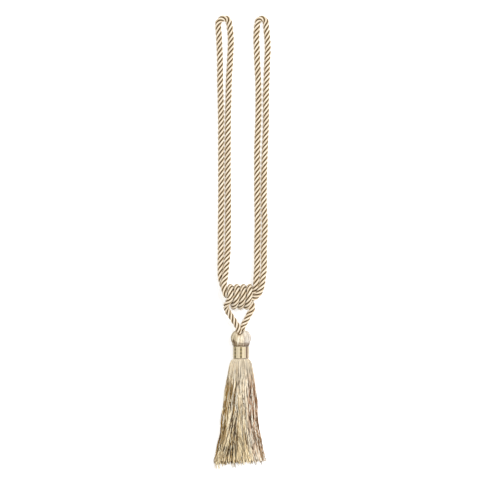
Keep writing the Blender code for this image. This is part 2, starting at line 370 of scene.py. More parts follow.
PAIR = table("x y z half_gap roll_deg", [
    (-17.2, 314.6, 3.0, 5.5, 0),
    (-16.0, 300.7, 3.0, 5.85, 0),
    (-15.9, 276.6, 3.0, 5.0, 0),
    (-16.4, 258.6, 3.0, 4.4, 0),
    (-16.4, 240.5, 3.0, 4.0, 0),
    (-16.4, 218.5, 3.0, 3.55, 0),
    (-16.5, 178.4, 3.0, 3.35, 0),
    (-16.3, 138.3, 3.1, 3.5, 0),
    (-16.5, 113.3, 4.0, 3.6, 1),
    (-16.6, 98.2, 5.6, 3.6, 4),
    (-16.8, 84.2, 7.7, 3.45, 11),
    (-17.5, 72.2, 9.7, 3.2, 25),
    (-17.9, 60.4, 11.5, 3.15, 50),
    (-17.2, 52.0, 12.2, 3.15, 84),
    (-13.8, 44.4, 12.5, 3.15, 107),
    (-8.0, 41.8, 12.5, 3.15, 120),
    (-1.5, 41.6, 12.5, 3.15, 130),
    (4.6, 41.7, 12.6, 3.15, 137),
    (10.7, 42.4, 12.9, 3.15, 138),
    (15.6, 46.3, 13.1, 3.15, 141),
    (17.9, 52.7, 12.6, 3.2, 152),
    (18.7, 60.6, 11.6, 3.35, 165),
    (19.6, 71.2, 9.6, 3.5, 175),
    (19.6, 88.2, 7.0, 3.4, 180),
    (20.3, 113.3, 4.1, 3.6, 180),
    (19.6, 138.3, 3.0, 3.3, 180),
    (19.8, 168.4, 3.0, 3.6, 180),
    (20.0, 183.4, 3.0, 3.8, 180),
    (20.5, 198.4, 3.0, 3.95, 180),
    (21.2, 216.5, 3.0, 3.9, 180),
    (21.3, 240.5, 3.0, 3.8, 180),
    (21.5, 258.6, 3.0, 4.2, 180),
    (21.3, 276.6, 3.0, 5.0, 180),
    (21.4, 288.6, 3.0, 5.45, 180),
    (20.9, 300.7, 3.0, 5.5, 180),
    (20.7, 312.7, 3.0, 4.5, 180),
    (20.9, 315.6, 3.0, 4.1, 180),
])


# %% [markdown]
# A rope never lies in straight runs and arcs, so its points are joined by one smooth curve. It is
# a Catmull-Rom curve, which passes through every listed point, and it is held up where it would dip
# into the table.


# %% Smooth a route, and join the loop's two runs
STEPS_PER_POINT = 12


def smooth_line(points, step):
    """Points every `step` along a smooth curve through a rope's own ones."""
    points = np.array(points, float)
    ends = [2 * points[0] - points[1], *points, 2 * points[-1] - points[-2]]
    dense = []
    for p0, p1, p2, p3 in zip(ends, ends[1:], ends[2:], ends[3:]):
        t0 = 0.0
        t1 = t0 + math.sqrt(np.linalg.norm(p1 - p0))
        t2 = t1 + math.sqrt(np.linalg.norm(p2 - p1))
        t3 = t2 + math.sqrt(np.linalg.norm(p3 - p2))
        for t in np.linspace(t1, t2, STEPS_PER_POINT, endpoint=False):
            a1 = (t1 - t) / (t1 - t0) * p0 + (t - t0) / (t1 - t0) * p1
            a2 = (t2 - t) / (t2 - t1) * p1 + (t - t1) / (t2 - t1) * p2
            a3 = (t3 - t) / (t3 - t2) * p2 + (t - t2) / (t3 - t2) * p3
            b1 = (t2 - t) / (t2 - t0) * a1 + (t - t0) / (t2 - t0) * a2
            b2 = (t3 - t) / (t3 - t1) * a2 + (t - t1) / (t3 - t1) * a3
            dense.append((t2 - t) / (t2 - t1) * b1 + (t - t1) / (t2 - t1) * b2)
    dense = np.array([*dense, points[-1]])
    dense[:, 2] = np.maximum(dense[:, 2], ROPE_D / 2)
    along = np.concatenate([[0], np.cumsum(np.linalg.norm(np.diff(dense, axis=0), axis=1))])
    at = np.linspace(0, along[-1], round(along[-1] / step) + 1)
    return np.stack([np.interp(at, along, dense[:, k]) for k in range(3)], axis=1)


def line_length(line):
    """The length of a line of points."""
    return float(np.linalg.norm(np.diff(line, axis=0), axis=1).sum())


def pair_runs():
    """The two runs' own points, from the left ear through the knot to the right ear."""
    middle = np.stack([PAIR["x"], PAIR["y"], PAIR["z"]], axis=1)
    heading = np.gradient(middle, axis=0)
    heading /= np.linalg.norm(heading, axis=1)[:, None]
    left_hand = np.cross([0.0, 0.0, 1.0], heading)
    left_hand /= np.linalg.norm(left_hand, axis=1)[:, None]
    lift = np.cross(heading, left_hand)
    roll = np.radians(PAIR["roll_deg"])[:, None]
    offset = PAIR["half_gap"][:, None] * (np.cos(roll) * left_hand + np.sin(roll) * lift)
    return middle + offset, middle - offset


def ear_bend(first, last, steps=5):
    """A half circle from one run's end to the other's, bulging up the piece along +Y."""
    middle, half = (first + last) / 2, (first - last) / 2
    radius = np.linalg.norm(half)
    angles = [math.pi * k / (steps + 1) for k in range(1, steps + 1)]
    return [
        middle + half * math.cos(a) + np.array([0, radius, 0]) * math.sin(a) for a in angles
    ]


def loop_route():
    """From inside the knot, round the right ear, back through the knot, round the left ear."""
    first, second = pair_runs()
    points = [
        *second[KNOT_ROW:],
        *ear_bend(second[-1], first[-1]),
        *first[::-1],
        *ear_bend(first[0], second[0]),
        *second[: KNOT_ROW + 1],
    ]
    start, end = points[0], points[-1]
    onward = points[1] - start
    onward /= np.linalg.norm(onward)
    points[0] = start + onward * JOINT_GAP / 2
    points[-1] = end - onward * JOINT_GAP / 2
    return points


# %% [markdown]
# The slider cord starts in the tassel's head, rises as the left leg, winds four times round the
# loop, and comes back down as the right leg. The four turns are a helix whose axis lies across the
# piece, so a formula gives them. Only the legs are listed points.

# %% The slider cord's rows
TURN_PITCH = 6.3  # from one turn to the next
TURN_LEAN = 1.6  # how far a turn leans to the right in front
TURN_HALF_HEIGHT = 10.0
TURN_HALF_DEPTH = 9.5
FIRST_TURN_X = -13.6
HELIX_FROM_DEG = 80.0
HELIX_TO_DEG = 1385.0
HELIX_STEP_DEG = 30.0

LEFT_LEG = [
    (-1.9, 3.75, 12.2),
    (-2.1, 5.6, 12.2),
    (-2.3, 7.7, 12.2),
    (-2.6, 9.5, 12.2),
    (-3.8, 12.6, 12.4),
    (-7.0, 17.8, 12.8),
    (-11.0, 23.8, 13.7),
    (-13.2, 27.2, 14.7),
    (-14.6, 30.6, 16.3),
    (-14.5, 33.8, 18.6),
    (-12.6, 36.8, 20.7),
]
RIGHT_LEG = [
    (11.3, 31.0, 7.0),
    (10.5, 27.5, 7.8),
    (8.2, 23.8, 7.9),
    (5.3, 18.0, 7.4),
    (2.2, 12.6, 6.8),
    (1.3, 9.5, 6.7),
    (1.4, 7.7, 6.7),
    (1.5, 5.6, 6.7),
    (1.6, 3.75, 6.7),
]


def turn_point(degrees):
    """A point of the knot's winding: 0 is lowest in Y, 90 the front, 180 the top, 270 the back."""
    a = math.radians(degrees)
    front = max(math.sin(a), 0.0) ** 2
    return (
        FIRST_TURN_X + TURN_PITCH * degrees / 360 + TURN_LEAN * front,
        KNOT_Y - TURN_HALF_HEIGHT * math.cos(a),
        KNOT_Z + TURN_HALF_DEPTH * math.sin(a),
    )


def slider_route():
    """Up the left leg, round the turns of the knot, and down the right leg."""
    steps = round((HELIX_TO_DEG - HELIX_FROM_DEG) / HELIX_STEP_DEG)
    angles = np.linspace(HELIX_FROM_DEG, HELIX_TO_DEG, steps + 1)
    return [*LEFT_LEG, *[turn_point(a) for a in angles], *RIGHT_LEG]


# %% [markdown]
# ## The rope's finish and its painted shade
# The rope is spun from satin yarn, and its crests are cream. The grooves between the strands are
# painted brown and the flanks painted darker: painted shade for light that goes in there and meets
# yarn again and again. Each point knows its place in the section, so the material can tell crest
# from groove by the distance from the rope's axis. Three noises stretched along the strand draw its
# lines: one makes whole lengths a little duller, a coarse one shows the plies, and a fine one shows
# the yarn, and also raises the surface a little.

# %% Mix the rope's satin
CREAM = screen(255, 249, 234)
BEIGE = screen(220, 202, 174)
TAN = screen(190, 164, 126)
FLANK_PAINTED_SHADE = screen(158, 130, 86)
GROOVE_PAINTED_SHADE = screen(54, 34, 12)
# Painted shade by distance from the axis: the grooves are painted brown and the flanks darker.
FLANK_MM = (2.05, 2.5)  # from the groove's brown to the shaded flank, by distance from the axis
CREST_MM = (2.4, 2.95)  # from the shaded flank to the crest

rope_satin, tree, shader = new_material(
    "rope_satin", 0.42, Specular_IOR_Level=0.35, Sheen_Weight=0.12, Sheen_Roughness=0.4
)
place = attribute(tree, "section", "Vector")
across_x, across_y, _ = (part / MM for part in split(tree, place))
along = attribute(tree, "along") / MM
radius = (across_x * across_x + across_y * across_y).math("SQRT")
flank = spread(tree, radius, *FLANK_MM)
crest = spread(tree, radius, *CREST_MM)
yarn = noise(tree, vector(tree, across_x * 9.0, across_y * 9.0, along * 0.35), detail=3.0)
ply = noise(tree, vector(tree, across_x * 2.4, across_y * 2.4, along * 0.05))
stretch = noise(tree, vector(tree, along * 0.05, 0.0, 0.0))
satin = blend(tree, spread(tree, yarn, 0.35, 0.65), BEIGE, CREAM)
satin = blend(tree, spread(tree, ply, 0.48, 0.6, 0.0, 0.6), satin, TAN)
satin = blend(tree, spread(tree, stretch, 0.3, 0.8, 0.0, 0.3), satin, BEIGE)
# Painted shade: the flanks darken towards the grooves, which are painted brown.
satin = blend(tree, crest, FLANK_PAINTED_SHADE, satin)
feed(tree, shader.inputs["Base Color"], blend(tree, flank, GROOVE_PAINTED_SHADE, satin))
ridges = {"Height": yarn, "Strength": 0.35, "Distance": 0.12 * MM}
bump = add(tree, "ShaderNodeBump", ridges)
feed(tree, shader.inputs["Normal"], bump)

# %% [markdown]
# ## Twisting the rope
# In the photo the rope's grooves come every 5.25 mm and slope more steeply than three strands
# would make them, which fits four strands. They could be four separate helices, but where they
# press together they would run through each other. Here the rope is swept instead: its section is
# an outline of four ovals side by side, with a small ridge for each yarn, and the section turns
# once for each lay as it moves along the route. Geometry Nodes do the sweep, so that the lay, the
# strands and the yarns stay named inputs.

# %% The twisted rope's tree
SOLID_STRANDS = 3
STRANDS = 4
STRAND_OPENING_DEG = 119.9  # each oval shows this far round to both sides, down to the groove
BORDER_NUDGE = 0.001  # a point on the border of two strands belongs to the next one
FLOOR_GAP = 0.02  # nothing comes nearer to the table than this, in mm


def rope_tree():
    """The twisted rope: a section that turns as it is carried along the line that goes in."""
    tree, given = new_tree(
        "twisted rope",
        Lay=LAY * MM,
        Rings=21,
        Strands=float(STRANDS),
        Yarns=7.0,
        Points=84,
        Offset=1.75 * MM,
        Radial=1.25 * MM,
        Tangential=1.3 * MM,
        Ripple=0.09 * MM,
        Fullness=1.0,
        Twist_From=0.0,
    )

    # The section: a part of an oval for each strand, dented between its yarns.
    factor = add(tree, "GeometryNodeSplineParameter", output="Factor")
    lobe = (factor * given["Strands"] + BORDER_NUDGE).math("FLOOR")
    inside = factor * given["Strands"] - lobe
    sweep = (inside - 0.5) * math.radians(2 * STRAND_OPENING_DEG)
    valley = (inside * given["Yarns"] * math.tau).cos() * 0.5 + 0.5
    dent = valley * given["Ripple"]
    out = given["Offset"] + (given["Radial"] - dent) * sweep.cos()
    side = (given["Tangential"] - dent) * sweep.sin()
    turn = lobe / given["Strands"] * math.tau
    across_x = out * turn.cos() - side * turn.sin()
    across_y = out * turn.sin() + side * turn.cos()
    ring = add(tree, "GeometryNodeCurvePrimitiveCircle", {"Resolution": given["Points"]})
    section = move(tree, ring, vector(tree, across_x, across_y, 0.0))
    where = add(tree, "GeometryNodeInputPosition")
    section = store(tree, section, {"section": where}, "FLOAT_VECTOR")

    # The rail, and the rope along it, kept above the table.
    rail = add(tree, "GeometryNodeMeshToCurve", {"Mesh": given["Geometry"]})
    rail = add(
        tree,
        "GeometryNodeResampleCurve",
        {"Curve": rail, "Length": given["Lay"] / given["Rings"]},
        mode="LENGTH",
    )
    travelled = add(tree, "GeometryNodeSplineParameter", output="Length")
    tilt = (travelled - given["Twist_From"]) / given["Lay"] * math.tau
    rail = add(tree, "GeometryNodeSetCurveTilt", {"Curve": rail, "Tilt": tilt})
    rail = store(tree, rail, {"along": travelled})
    rope = carry(tree, section, rail, given["Fullness"])
    x, y, z = split(tree, add(tree, "GeometryNodeInputPosition"))
    rope = move(tree, rope, vector(tree, x, y, z.math("MAXIMUM", FLOOR_GAP * MM)))
    finish_tree(tree, rope, rope_satin)
    return tree


# %% [markdown]
# The route goes in as a plain line of points. The twist is counted from the middle of the rope. The
# measured solid has three broad ridges with the same 5.25 mm between its grooves, so four strands
# need a lay that is a third longer. The satin lies loosely on the long loop, which makes it a
# little fuller than the measured rope, and tighter in the cord.


# %% Lay both ropes
RAIL_STEP = 1.0


def lay_rope(name, route, tree, fullness):
    """Sweeps the rope along its route: the piece, its line and its length in metres."""
    line = smooth_line(route, LAY / RINGS_PER_LAY) * MM
    length = line_length(line)
    rings = len(line) - 1
    lay = length / rings * RINGS_PER_LAY * STRANDS / SOLID_STRANDS
    middle_ring = (rings + 1) // 2
    rail = smooth_line(route, RAIL_STEP) * MM
    mesh = bpy.data.meshes.new(name)
    mesh.from_pydata(rail.tolist(), [(k, k + 1) for k in range(len(rail) - 1)], [])
    twist_from = length * middle_ring / rings
    rope = grow(name, tree, mesh, Lay=lay, Twist_From=twist_from, Fullness=fullness)
    print(f"{name} is {length / MM:.0f} mm long")
    return rope, line, length


twisting = rope_tree()
loop = lay_rope("loop_rope_satin", loop_route(), twisting, fullness=1.12)
slider = lay_rope("slider_cord_satin", slider_route(), twisting, fullness=1.05)
for (rope, line, length), node, end in (
    (loop, "loop_rope", "knot"),
    (slider, "slider_cord", "object"),
):
    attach(rope, "root")
    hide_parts(node)

# %% [markdown]
# ## The tassel's thread
# The skirt is rayon thread: shiny, a little crimped from the twisting, and dyed in one bath, so the
# threads differ only by how they lie. Light that goes in between them comes out brown, so the
# threads deep in the bundle are painted brown as shade. Each thread carries its own random shade,
# its lock's shade and its place in the bundle, which the geometry stores. The material turns them
# into colour, so no two threads look quite the same, and adds painted light and shade: darker
# sides, a paler middle and neck, and painted glints and dark lines along the threads. The head's
# thread is the same with other tones, painted for the other light it lies in.

# %% Mix the thread's colour
THREAD_HIGHLIGHT = screen(255, 249, 232)
THREAD_PALE = screen(248, 234, 208)
THREAD_STRAW = screen(174, 138, 76)
THREAD_GOLD_SHADE = screen(142, 107, 38)
THREAD_DEEP_SHADE = screen(62, 38, 10)
THREAD_ROSE_SHADE = screen(161, 114, 82)
THREAD_SHINE = screen(255, 238, 208)


def thread_material(name, roughness, dark, left, right, deep, tint, glints):
    """Rayon thread: tones for dark threads, for the painted shade on both sides and deep inside,
    and a tint for the lower left.
    """
    material, tree, shader = new_material(
        name, roughness, Specular_IOR_Level=0.2, Specular_Tint=THREAD_SHINE
    )
    shade, lock, reach, side, along, gleam = (
        attribute(tree, key) for key in ("shade", "lock_shade", "reach", "side", "along", "gleam")
    )

    # The thread's own tone comes from its shade and its lock's.
    light = shade * 0.45 + lock * 0.55
    colour = blend(tree, spread(tree, light, 0.1, 0.58), dark, THREAD_PALE)

    # Painted shade on the bundle's two sides, most of all between the neck and the middle.
    sides = spread(tree, along, 0.02, 0.3) * spread(tree, along, 0.95, 0.5, 0.5, 0.9)
    on_right = spread(tree, side, 0.1, 0.6, 0.0, 0.9)
    on_left = spread(tree, side, 0.0, -0.5, 0.0, 0.95)
    colour = blend(tree, on_right * sides, colour, right)
    colour = blend(tree, on_left * sides, colour, left)

    # Painted light: the middle of the upper half is paler, and so are all the threads near the
    # neck.
    middle = spread(tree, side.math("ABSOLUTE"), 0.5, 0.1, 0.0, 0.5)
    upper_half = spread(tree, along, 0.7, 0.4)
    near_neck = spread(tree, along, 0.02, 0.35, 0.85, 0.0)
    colour = blend(tree, middle * upper_half, colour, THREAD_PALE)
    colour = blend(tree, near_neck, colour, THREAD_PALE)

    # A noise drawn out along the threads paints fine glints on them, and dark lines of painted
    # shade.
    streak_place = along * 4.5 + shade * 9.0 + lock * 20.0
    glint = noise(tree, vector(tree, lock * 60.0 + shade * 14.0, streak_place, 0.0), detail=2.0)
    strength = spread(tree, along, 0.0, 0.3, glints * 0.5, glints)
    colour = blend(tree, spread(tree, glint, 0.55, 0.58) * strength, colour, THREAD_HIGHLIGHT)
    colour = blend(tree, spread(tree, glint, 0.48, 0.42) * strength, colour, deep)

    # Painted shade: the inner threads go dark, but light reaches the outer ones,
    # and all of them near the neck and at the cut ends.
    lit = spread(tree, reach, 0.65, 0.97) + spread(tree, along, 0.05, 0.4, 0.5, 0.0)
    lit = lit + spread(tree, along, 0.9, 0.99, 0.0, 0.85)
    colour = blend(tree, lit.math("MINIMUM", 1.0), deep, colour)
    # A painted highlight where the head's threads gleam.
    colour = blend(tree, gleam, colour, THREAD_HIGHLIGHT)
    # A warm tint deepens the painted shade on the lower left.
    lower_left = spread(tree, side - along, -0.4, -1.1)
    colour = blend(tree, lower_left, colour, tint, "MULTIPLY")
    feed(tree, shader.inputs["Base Color"], colour)
    return material


skirt_thread = thread_material(
    "skirt_thread",
    0.36,
    dark=THREAD_STRAW,
    left=THREAD_GOLD_SHADE,
    right=THREAD_ROSE_SHADE,
    deep=THREAD_DEEP_SHADE,
    tint=screen(255, 249, 230),
    glints=0.9,
)

# %% [markdown]
# ## The skirt
# A real skirt is thread wound round a card, bound at the neck and cut at the hem. The threads cling
# in locks, each lock waves as one, and each thread is crimped. The same order makes it here: points
# are scattered over a disc, a Voronoi texture sorts them into locks, and every point gets one line,
# which a formula bends. The formula works on shares from 0 at the neck to 1 at the hem, and reads
# the measured solid's own table for the skirt's width and depth there.

# %% The skirt's rows
SKIRT = table("y x z half_width half_depth", [
    (-20.4, 0.0, 9.3, 7.0, 7.0),
    (-26.5, -0.1, 8.4, 11.2, 7.3),
    (-52.0, -0.5, 6.9, 15.8, 6.4),
    (-96.0, -1.4, 6.1, 20.4, 5.7),
    (-123.0, -0.7, 5.9, 26.4, 5.6),
])
ROOT_Y, HEM_Y = float(SKIRT["y"][0]), float(SKIRT["y"][-1])


# %% Scatter the threads and sort them into locks
LOCK_FLATNESS = 0.4  # a lock's width over its depth, as shares of the bundle's
# The side that each thread stores places the bundle's painted side shade.
SIDE_SHADE_SCATTER = 0.8  # how far a lock may take its tone from another place across the skirt


def scatter_threads(tree, given):
    """Points that stand for threads, each with its place in the bundle and its lock's place."""
    points = add(tree, "GeometryNodePoints", {"Count": given["Threads"]})
    angle = chance(tree, 0.0, math.tau, given["Seed"])
    reach = chance(tree, given["Inside"], given["Outside"], given["Seed"] + 1).math("SQRT")
    u, v = reach * angle.cos(), reach * angle.sin()
    place = vector(tree, u * given["Locks"], v * given["Locks"] * LOCK_FLATNESS, 0.0)
    cell = add(
        tree,
        "ShaderNodeTexVoronoi",
        {"Vector": place, "Scale": 1.0},
        "Position",
        voronoi_dimensions="2D",
    )
    colour = Wire(tree, cell.socket.node.outputs["Color"])
    lock_x, lock_z, _ = split(tree, cell)
    lock_shade, lock_turn, lock_end = split(tree, colour)
    kept = {
        "u": u,
        "v": v,
        "side": (u + (lock_turn - 0.5) * SIDE_SHADE_SCATTER) * spread(tree, v, -0.5, 0.2),
        "reach": reach,
        "lock_u": lock_x / given["Locks"],
        "lock_v": lock_z / given["Locks"] / LOCK_FLATNESS,
        "lock_shade": lock_shade,
        "lock_turn": lock_turn,
        "lock_end": lock_end,
        "shade": chance(tree, 0.0, 1.0, given["Seed"] + 2),
        "phase": chance(tree, 0.0, 1.0, given["Seed"] + 3),
        "stray": chance(tree, 0.0, 1.0, given["Seed"] + 4),
    }
    return store(tree, points, kept)


# %% [markdown]
# The bending has six parts, added together: the bundle's own outline, the pull towards the lock,
# the sweep of some locks across the others, the lock's slow wave, the thread's own wandering, and
# its quick crimp, which grows towards the hem as it does on the real one. The hem slants, some
# threads hang out of it, and those underneath stop short, so the bundle lies flat on the table.
# The lengths are in millimetres until the points are placed.


# %% The skirt's tree
ROOT_START = 0.5  # the threads start this far below the band's lower edge, in mm


def skirt_tree():
    """Threads from the neck to the hem, bent by one formula."""
    tree, given = new_tree(
        "skirt of threads",
        Threads=290,
        Steps=110,
        Inside=0.5,
        Outside=1.0,
        Locks=8.0,
        Gather=0.42,
        Lock_Wave=0.35,
        Crimps=16.0,
        Crimp=0.16,
        Wander=3.0,
        Thread_Radius=0.32,
        Hem_Slant=4.0,
        Lock_Ends=2.0,
        Thread_Ends=3.0,
        Stray_Length=7.0,
        Under_Short=6.0,
        Sweep_Left=0.65,
        Sweep_Right=0.2,
        Sweep_Lift=1.2,
        Seed=10,
    )
    lines = lines_on(tree, scatter_threads(tree, given), given["Steps"])
    u, v, lock_u, lock_v, lock_turn, lock_end = (
        named(tree, label) for label in ("u", "v", "lock_u", "lock_v", "lock_turn", "lock_end")
    )
    shade, phase, stray = (named(tree, label) for label in ("shade", "phase", "stray"))

    # Where each thread ends, and how far along the skirt each of its points is.
    under = (v * -1.0).math("MAXIMUM", 0.0)
    end = HEM_Y + u * given["Hem_Slant"] / 2
    end = end + (lock_end - 0.5) * given["Lock_Ends"] + (phase - 0.5) * given["Thread_Ends"]
    end = end + under * under * given["Under_Short"]
    hang = spread(tree, stray, 0.95, 1.0, 0.0, given["Stray_Length"])
    end = end - hang * spread(tree, v, -0.5, -0.4)
    factor = add(tree, "GeometryNodeSplineParameter", output="Factor")
    y = ROOT_Y + ROOT_START + factor * (end - ROOT_Y - ROOT_START)
    share = (y - ROOT_Y) / (HEM_Y - ROOT_Y)
    middle_x, middle_z, half_width, half_depth = (
        follow(tree, share, SKIRT["y"], SKIRT[label])
        for label in ("x", "z", "half_width", "half_depth")
    )
    bulge = spread(tree, share, 0.0, 0.14, 0.7, 0.0)
    loose = spread(tree, share, 0.02, 0.3)
    thick = given["Thread_Radius"]

    # The pull towards the lock, and the sweep across the front.
    pull = spread(tree, share, 0.1, 0.85) * given["Gather"]
    front = spread(tree, v, 0.0, 0.5) * spread(tree, share, 0.3, 1.0)
    whim = lock_turn * 0.6 + phase * 0.4
    to_left = front * spread(tree, whim, 0.35, 0.65) * spread(tree, u, 0.3, -0.1) * (u + 1.0)
    to_right = front * spread(tree, whim, 0.6, 0.3) * spread(tree, u, -0.2, 0.2) * (1.0 - u)
    sweep = to_right * given["Sweep_Right"] - to_left * given["Sweep_Left"]

    # Each lock has two to four waves, and each thread its own crimps and its own wandering.
    wave = (share * (lock_turn * 2.0 + 2.0) + lock_end) * math.tau
    crimp = (share * given["Crimps"] * (shade * 0.3 + 0.85) + phase) * math.tau
    crimp_size = given["Crimp"] * (share * 0.8 + 0.2) * loose
    drift = noise(tree, vector(tree, phase * 80.0, share * 3.0, 0.0))

    x = middle_x + (u + (lock_u - u) * pull + sweep) * (half_width + bulge - thick)
    x = x + wave.sin() * given["Lock_Wave"] * loose + crimp.sin() * crimp_size
    x = x + (drift - 0.5) * given["Wander"] * share
    z = middle_z + (v + (lock_v - v) * pull) * (half_depth + bulge - thick)
    z = z + wave.cos() * given["Lock_Wave"] * 0.3 * loose + crimp.cos() * crimp_size * 0.4
    z = z + (to_left + to_right) * given["Sweep_Lift"]
    z = z.math("MAXIMUM", thick + FLOOR_GAP)
    bent = move(tree, lines, vector(tree, x * MM, y * MM, z * MM))
    bent = store(tree, bent, {"along": share})
    radius = thick * MM * spread(tree, share, 0.0, 0.35, 0.6, 1.0)
    finish_tree(tree, loft(tree, bent, 3, radius), skirt_thread)
    return tree


# %% [markdown]
# The threads are split over a few pieces, because each is kept small enough for other programs to
# open. The heart of the bundle needs fewer bends, as it shows only through the gaps.

# %% Grow the skirt
skirting = skirt_tree()
skirt = [grow(f"skirt_threads_{k}", skirting, Seed=10 * k) for k in (1, 2, 3)]
heart = {"Seed": 40, "Threads": 380, "Steps": 26, "Inside": 0.0, "Outside": 0.5, "Crimps": 5.0}
skirt.append(grow("skirt_heart", skirting, **heart))

# %% [markdown]
# ## The head
# The head is the same thread, folded over the cord and bound below. It is round in front of a core,
# and the two legs of the cord part it into two lobes. A plain skin under the threads keeps light
# from passing through, and the threads on it run over the rim and down into the pit. The skin's
# first and last rows shrink to a point, which closes the neck and the pit's floor. Skin and
# threads use one formula, which reads the measured solid's table, dips at the notch where the cord
# comes out, and has a crease between the lobes. Angles go round the head's axis, with 0 at the
# right and 90 degrees on top.

# %% The head's rows, material and formula
HEAD = table("y radius z notch", [
    (-20.4, 7.2, 9.3, 0.0),
    (-7.6, 7.2, 9.3, 0.0),
    (-6.2, 7.8, 9.45, 0.0),
    (-4.2, 8.8, 9.45, 0.05),
    (-2.0, 9.6, 9.45, 0.15),
    (0.8, 9.95, 9.45, 0.3),
    (3.2, 9.75, 9.45, 0.5),
    (5.6, 8.9, 9.45, 0.8),
    (7.6, 7.8, 9.45, 1.0),
    (7.8, 7.1, 9.45, 1.0),
    (3.4, 6.7, 9.45, 0.0),
])

NOTCH_AT = math.radians(101.0)
NOTCH_SPREAD = math.radians(24.0)
NOTCH_DROP = 3.5
NOTCH_DEPTH = 0.6
SHOULDER_DROP = 1.6
CREASE_FOOT_AT = math.radians(120.0)
CREASE_SLANT = math.radians(33.0)
CREASE_WIDTH = math.radians(8.0)
CREASE_DEPTH = 0.9
FOOT_ROLL = 0.9
HEAD_FLOOR_Z = 0.35

# The head's thread, with tones painted for the light it lies in: olive shade on its left side,
# greyer on its right.
head_thread = thread_material(
    "head_thread",
    0.3,
    dark=screen(204, 190, 158),
    left=screen(186, 172, 138),
    right=screen(206, 199, 192),
    deep=screen(92, 60, 12),
    tint=screen(255, 253, 250),
    glints=0.45,
)


def bell(wire, middle, width):
    """A soft bump: 1 at the middle, and nearly 0 at twice the width from it."""
    off = (wire - middle) / width
    return (off * off * -1.0).math("EXPONENT")


def crease_place(share):
    """The angle of the crease between the lobes, which slants to the left on its way down."""
    return CREASE_FOOT_AT - share * CREASE_SLANT


def head_place(tree, angle, share, lift, width=1.0):
    """A place on the head, by its angle round the axis and its share from neck to pit."""
    rows = np.arange(len(HEAD["y"]), dtype=float)
    y, radius, z, notch = (follow(tree, share, rows, HEAD[label]) for label in HEAD)
    off = (angle - NOTCH_AT).math("WRAP", math.pi, -math.pi)
    dip = bell(off, 0.0, NOTCH_SPREAD) * notch
    crease = bell(angle, crease_place(share), CREASE_WIDTH) * spread(tree, share, 0.1, 0.5)
    roll = bell(share, 0.17, 0.07)
    reach = radius - NOTCH_DEPTH * dip - CREASE_DEPTH * crease + FOOT_ROLL * roll
    reach = (reach + lift) * width
    fall = NOTCH_DROP * dip + SHOULDER_DROP * notch * angle.cos().math("POWER", 4.0)
    up = (z + reach * angle.sin()).math("MAXIMUM", HEAD_FLOOR_Z)
    return vector(tree, reach * angle.cos() * MM, (y - fall) * MM, up * MM)


# %% The head's tree
SKIN_ROWS = 43  # the first and the last are drawn in to a point, a row past the ends of the table
SKIN_COLUMNS = 97
SKIN_LIFT = -1.5  # from the measured surface, in thread radii: the skin lies inside it
# The skin is coloured as a thread a little way in, which is partly in painted shade.
SKIN_LOOK = {"shade": 0.3, "lock_shade": 0.3, "reach": 0.84, "along": 0.5}
WELD = 0.01


def head_skin(tree, thick):
    """The closed skin under the threads, from a flat grid rolled up into the head's shape."""
    row = 1 / (SKIN_ROWS - 3)
    counts = {"Vertices X": SKIN_COLUMNS, "Vertices Y": SKIN_ROWS}
    grid = add(tree, "GeometryNodeMeshGrid", counts)
    across, along, _ = split(tree, add(tree, "GeometryNodeInputPosition"))
    share = (along + 0.5) * (1 + 2 * row) - row
    held = share.math("MAXIMUM", 0.0).math("MINIMUM", 1.0)
    width = 1.0 - (share - held).math("ABSOLUTE") / row
    place = head_place(tree, across * math.tau, held, thick * SKIN_LIFT, width)
    skin = move(tree, grid, place)
    skin = add(tree, "GeometryNodeMergeByDistance", {"Geometry": skin, "Distance": WELD * MM})
    skin = add(tree, "GeometryNodeFlipFaces", {"Mesh": skin})
    return store(tree, skin, SKIN_LOOK)


def head_points(tree, given):
    """One point for each of the head's threads, evenly round the axis with a little scatter."""
    points = add(tree, "GeometryNodePoints", {"Count": given["Threads"]})
    number = add(tree, "GeometryNodeInputIndex")
    around = (number + chance(tree, -0.35, 0.35, given["Seed"])) / given["Threads"]
    angle = around * math.tau
    tone = noise(tree, vector(tree, around * 18.0, 0.0, 0.0))
    kept = {
        "around": around,
        "side": angle.cos() * spread(tree, angle.sin(), -0.4, 0.5, 0.3, 1.0),
        "lock_shade": spread(tree, tone, 0.3, 0.7),
        "shade": chance(tree, 0.0, 1.0, given["Seed"] + 1),
        "phase": chance(tree, 0.0, 1.0, given["Seed"] + 2),
    }
    return store(tree, points, kept)


